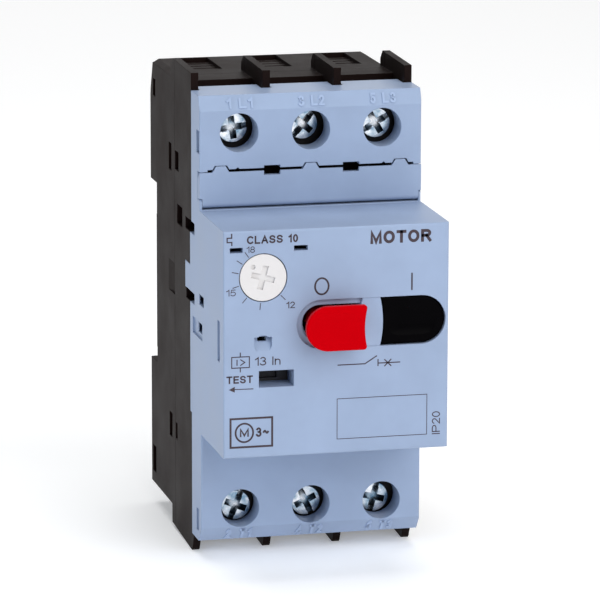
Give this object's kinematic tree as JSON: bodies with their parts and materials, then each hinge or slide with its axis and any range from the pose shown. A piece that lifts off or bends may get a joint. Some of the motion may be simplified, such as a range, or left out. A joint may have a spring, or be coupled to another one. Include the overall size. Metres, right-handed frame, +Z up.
{
  "type": "motor protection breaker",
  "caption": "Rail-mounted motor circuit breaker with raised push-button front, current dial, test slide, hinged flap, screw terminals and finned black housing.",
  "frame": {"origin": "centre of the rail seat at the back, level with the middle of the raised front block", "axes": "+X to the right seen from the front, +Y out of the back towards the rail, +Z up"},
  "size_m": [0.045, 0.0747, 0.0976],
  "materials": {
    "housing_blue": "fine moulded satin",
    "housing_black": "fine moulded satin",
    "button_red": "semi-gloss moulded",
    "button_black": "semi-gloss moulded",
    "dial_white": "moulded natural polyamide",
    "inner_plastic": "moulded thermoset",
    "zinc_steel": "blue zinc-plated",
    "dark_steel": "black zinc-plated",
    "steel": "plain steel",
    "spring_steel": "drawn wire",
    "tinned_copper": "tin-plated copper",
    "copper": "bare copper with silver tips",
    "bimetal_metal": "rolled bimetal"
  },
  "bodies": {
    "housing": {"base_housing": "housing_black", "middle_housing": "housing_black", "front_cover": "housing_blue", "rocker_pin": "steel", "latch_pin": "steel", "latch_spring": "spring_steel", "din_latch_spring": "spring_steel", "line_conductor_1": "tinned_copper", "line_conductor_2": "tinned_copper", "line_conductor_3": "tinned_copper", "load_contact_1": "copper", "load_contact_2": "copper", "load_contact_3": "copper", "load_conductor_1": "tinned_copper", "load_conductor_2": "tinned_copper", "load_conductor_3": "tinned_copper", "arc_chute_1": "steel", "arc_chute_2": "steel", "arc_chute_3": "steel", "trip_coil_1": "copper", "trip_coil_2": "copper", "trip_coil_3": "copper", "plunger_spring_1": "spring_steel", "plunger_spring_2": "spring_steel", "plunger_spring_3": "spring_steel", "bimetal_1": "bimetal_metal", "bimetal_2": "bimetal_metal", "bimetal_3": "bimetal_metal"},
    "off_button": {"off_button": "button_red"},
    "on_button": {"on_button": "button_black"},
    "button_rocker": {"button_rocker": "inner_plastic"},
    "contact_carrier": {"contact_carrier": "inner_plastic", "contact_bridge_1": "copper", "contact_bridge_2": "copper", "contact_bridge_3": "copper", "contact_spring_1": "spring_steel", "contact_spring_2": "spring_steel", "contact_spring_3": "spring_steel"},
    "current_dial": {"current_dial": "dial_white"},
    "test_slider": {"test_slider": "inner_plastic"},
    "trip_bar": {"trip_bar": "inner_plastic"},
    "latch_lever": {"latch_lever": "steel"},
    "aux_flap": {"aux_flap": "housing_blue"},
    "din_latch": {"din_latch": "housing_black"},
    "line_clamp_1": {"line_clamp_1": "dark_steel"},
    "line_screw_1": {"line_screw_1": "zinc_steel"},
    "line_clamp_2": {"line_clamp_2": "dark_steel"},
    "line_screw_2": {"line_screw_2": "zinc_steel"},
    "line_clamp_3": {"line_clamp_3": "dark_steel"},
    "line_screw_3": {"line_screw_3": "zinc_steel"},
    "load_clamp_1": {"load_clamp_1": "dark_steel"},
    "load_screw_1": {"load_screw_1": "zinc_steel"},
    "load_clamp_2": {"load_clamp_2": "dark_steel"},
    "load_screw_2": {"load_screw_2": "zinc_steel"},
    "load_clamp_3": {"load_clamp_3": "dark_steel"},
    "load_screw_3": {"load_screw_3": "zinc_steel"},
    "coil_plunger_1": {"coil_plunger_1": "steel"},
    "coil_plunger_2": {"coil_plunger_2": "steel"},
    "coil_plunger_3": {"coil_plunger_3": "steel"}
  },
  "joints": [
    {"name": "off_press", "type": "slide", "parent": "housing", "child": "off_button", "axis": [0, 1, 0], "range_m": [0, 0.0045]},
    {"name": "on_press", "type": "slide", "parent": "housing", "child": "on_button", "axis": [0, 1, 0], "range_m": [-0.0045, 0]},
    {"name": "rocker_turn", "type": "hinge", "parent": "housing", "child": "button_rocker", "pos_m": [0.0072, -0.047, 0.0034], "axis": [0, 0, 1], "range_deg": [-29.66, 0]},
    {"name": "carrier_slide", "type": "slide", "parent": "housing", "child": "contact_carrier", "axis": [0, 1, 0], "range_m": [0, 0.0045]},
    {"name": "dial_turn", "type": "hinge", "parent": "housing", "child": "current_dial", "pos_m": [-0.01465, -0.0635, 0.01317], "axis": [0, -1, 0], "range_deg": [-11, 177]},
    {"name": "test_slide", "type": "slide", "parent": "housing", "child": "test_slider", "axis": [-1, 0, 0], "range_m": [0, 0.003], "stiffness_N_per_m": 150, "springref_m": -0.001},
    {"name": "trip_slide", "type": "slide", "parent": "housing", "child": "trip_bar", "axis": [-1, 0, 0], "range_m": [0, 0.003]},
    {"name": "latch_turn", "type": "hinge", "parent": "housing", "child": "latch_lever", "pos_m": [-0.0156, -0.037, 0.0015], "axis": [0, 1, 0], "range_deg": [0, 24.01], "deforming": ["latch_spring"]},
    {"name": "flap_hinge", "type": "hinge", "parent": "housing", "child": "aux_flap", "pos_m": [0, -0.041, 0.02385], "axis": [1, 0, 0], "range_deg": [0, 85]},
    {"name": "din_latch_pull", "type": "slide", "parent": "housing", "child": "din_latch", "axis": [0, 0, -1], "range_m": [0, 0.004], "stiffness_N_per_m": 800, "springref_m": -0.002, "deforming": ["din_latch_spring"]},
    {"name": "line_clamp_1_slide", "type": "slide", "parent": "housing", "child": "line_clamp_1", "axis": [0, 1, 0], "range_m": [-0.0033, 0.0049]},
    {"name": "line_screw_1_turn", "type": "hinge", "parent": "line_clamp_1", "child": "line_screw_1", "pos_m": [-0.0145, -0.0355, 0.0378], "axis": [0, 1, 0], "range_deg": [-1980, 2940]},
    {"name": "line_clamp_2_slide", "type": "slide", "parent": "housing", "child": "line_clamp_2", "axis": [0, 1, 0], "range_m": [-0.0041, 0.0041]},
    {"name": "line_screw_2_turn", "type": "hinge", "parent": "line_clamp_2", "child": "line_screw_2", "pos_m": [0, -0.0347, 0.0378], "axis": [0, 1, 0], "range_deg": [-2460, 2460]},
    {"name": "line_clamp_3_slide", "type": "slide", "parent": "housing", "child": "line_clamp_3", "axis": [0, 1, 0], "range_m": [-0.0025, 0.0057]},
    {"name": "line_screw_3_turn", "type": "hinge", "parent": "line_clamp_3", "child": "line_screw_3", "pos_m": [0.0145, -0.0363, 0.0378], "axis": [0, 1, 0], "range_deg": [-1500, 3420]},
    {"name": "load_clamp_1_slide", "type": "slide", "parent": "housing", "child": "load_clamp_1", "axis": [0, 1, 0], "range_m": [-0.0014, 0.0076]},
    {"name": "load_screw_1_turn", "type": "hinge", "parent": "load_clamp_1", "child": "load_screw_1", "pos_m": [-0.0145, -0.0382, -0.0386], "axis": [0, 1, 0], "range_deg": [-840, 4560]},
    {"name": "load_clamp_2_slide", "type": "slide", "parent": "housing", "child": "load_clamp_2", "axis": [0, 1, 0], "range_m": [-0.0019, 0.0071]},
    {"name": "load_screw_2_turn", "type": "hinge", "parent": "load_clamp_2", "child": "load_screw_2", "pos_m": [0, -0.0377, -0.0386], "axis": [0, 1, 0], "range_deg": [-1140, 4260]},
    {"name": "load_clamp_3_slide", "type": "slide", "parent": "housing", "child": "load_clamp_3", "axis": [0, 1, 0], "range_m": [-0.0021, 0.0069]},
    {"name": "load_screw_3_turn", "type": "hinge", "parent": "load_clamp_3", "child": "load_screw_3", "pos_m": [0.0142, -0.0375, -0.03872], "axis": [0, 1, 0], "range_deg": [-1260, 4140]},
    {"name": "plunger_1_slide", "type": "slide", "parent": "housing", "child": "coil_plunger_1", "axis": [0, 0, 1], "range_m": [0, 0.0015], "stiffness_N_per_m": 100, "springref_m": -0.0005, "deforming": ["plunger_spring_1"]},
    {"name": "plunger_2_slide", "type": "slide", "parent": "housing", "child": "coil_plunger_2", "axis": [0, 0, 1], "range_m": [0, 0.0015], "stiffness_N_per_m": 100, "springref_m": -0.0005, "deforming": ["plunger_spring_2"]},
    {"name": "plunger_3_slide", "type": "slide", "parent": "housing", "child": "coil_plunger_3", "axis": [0, 0, 1], "range_m": [0, 0.0015], "stiffness_N_per_m": 100, "springref_m": -0.0005, "deforming": ["plunger_spring_3"]}
  ],
  "couplings": [
    {"joint": "on_press", "follows": "off_press", "ratio": -1},
    {"joint": "rocker_turn", "follows": "off_press", "rad_per_m": -115.01},
    {"joint": "carrier_slide", "follows": "off_press", "ratio": 1},
    {"joint": "trip_slide", "follows": "test_slide", "ratio": 1},
    {"joint": "latch_turn", "follows": "test_slide", "rad_per_m": 139.63},
    {"joint": "line_screw_1_turn", "follows": "line_clamp_1_slide", "rad_per_m": 10472},
    {"joint": "line_screw_2_turn", "follows": "line_clamp_2_slide", "rad_per_m": 10472},
    {"joint": "line_screw_3_turn", "follows": "line_clamp_3_slide", "rad_per_m": 10472},
    {"joint": "load_screw_1_turn", "follows": "load_clamp_1_slide", "rad_per_m": 10472},
    {"joint": "load_screw_2_turn", "follows": "load_clamp_2_slide", "rad_per_m": 10472},
    {"joint": "load_screw_3_turn", "follows": "load_clamp_3_slide", "rad_per_m": 10472}
  ]
}
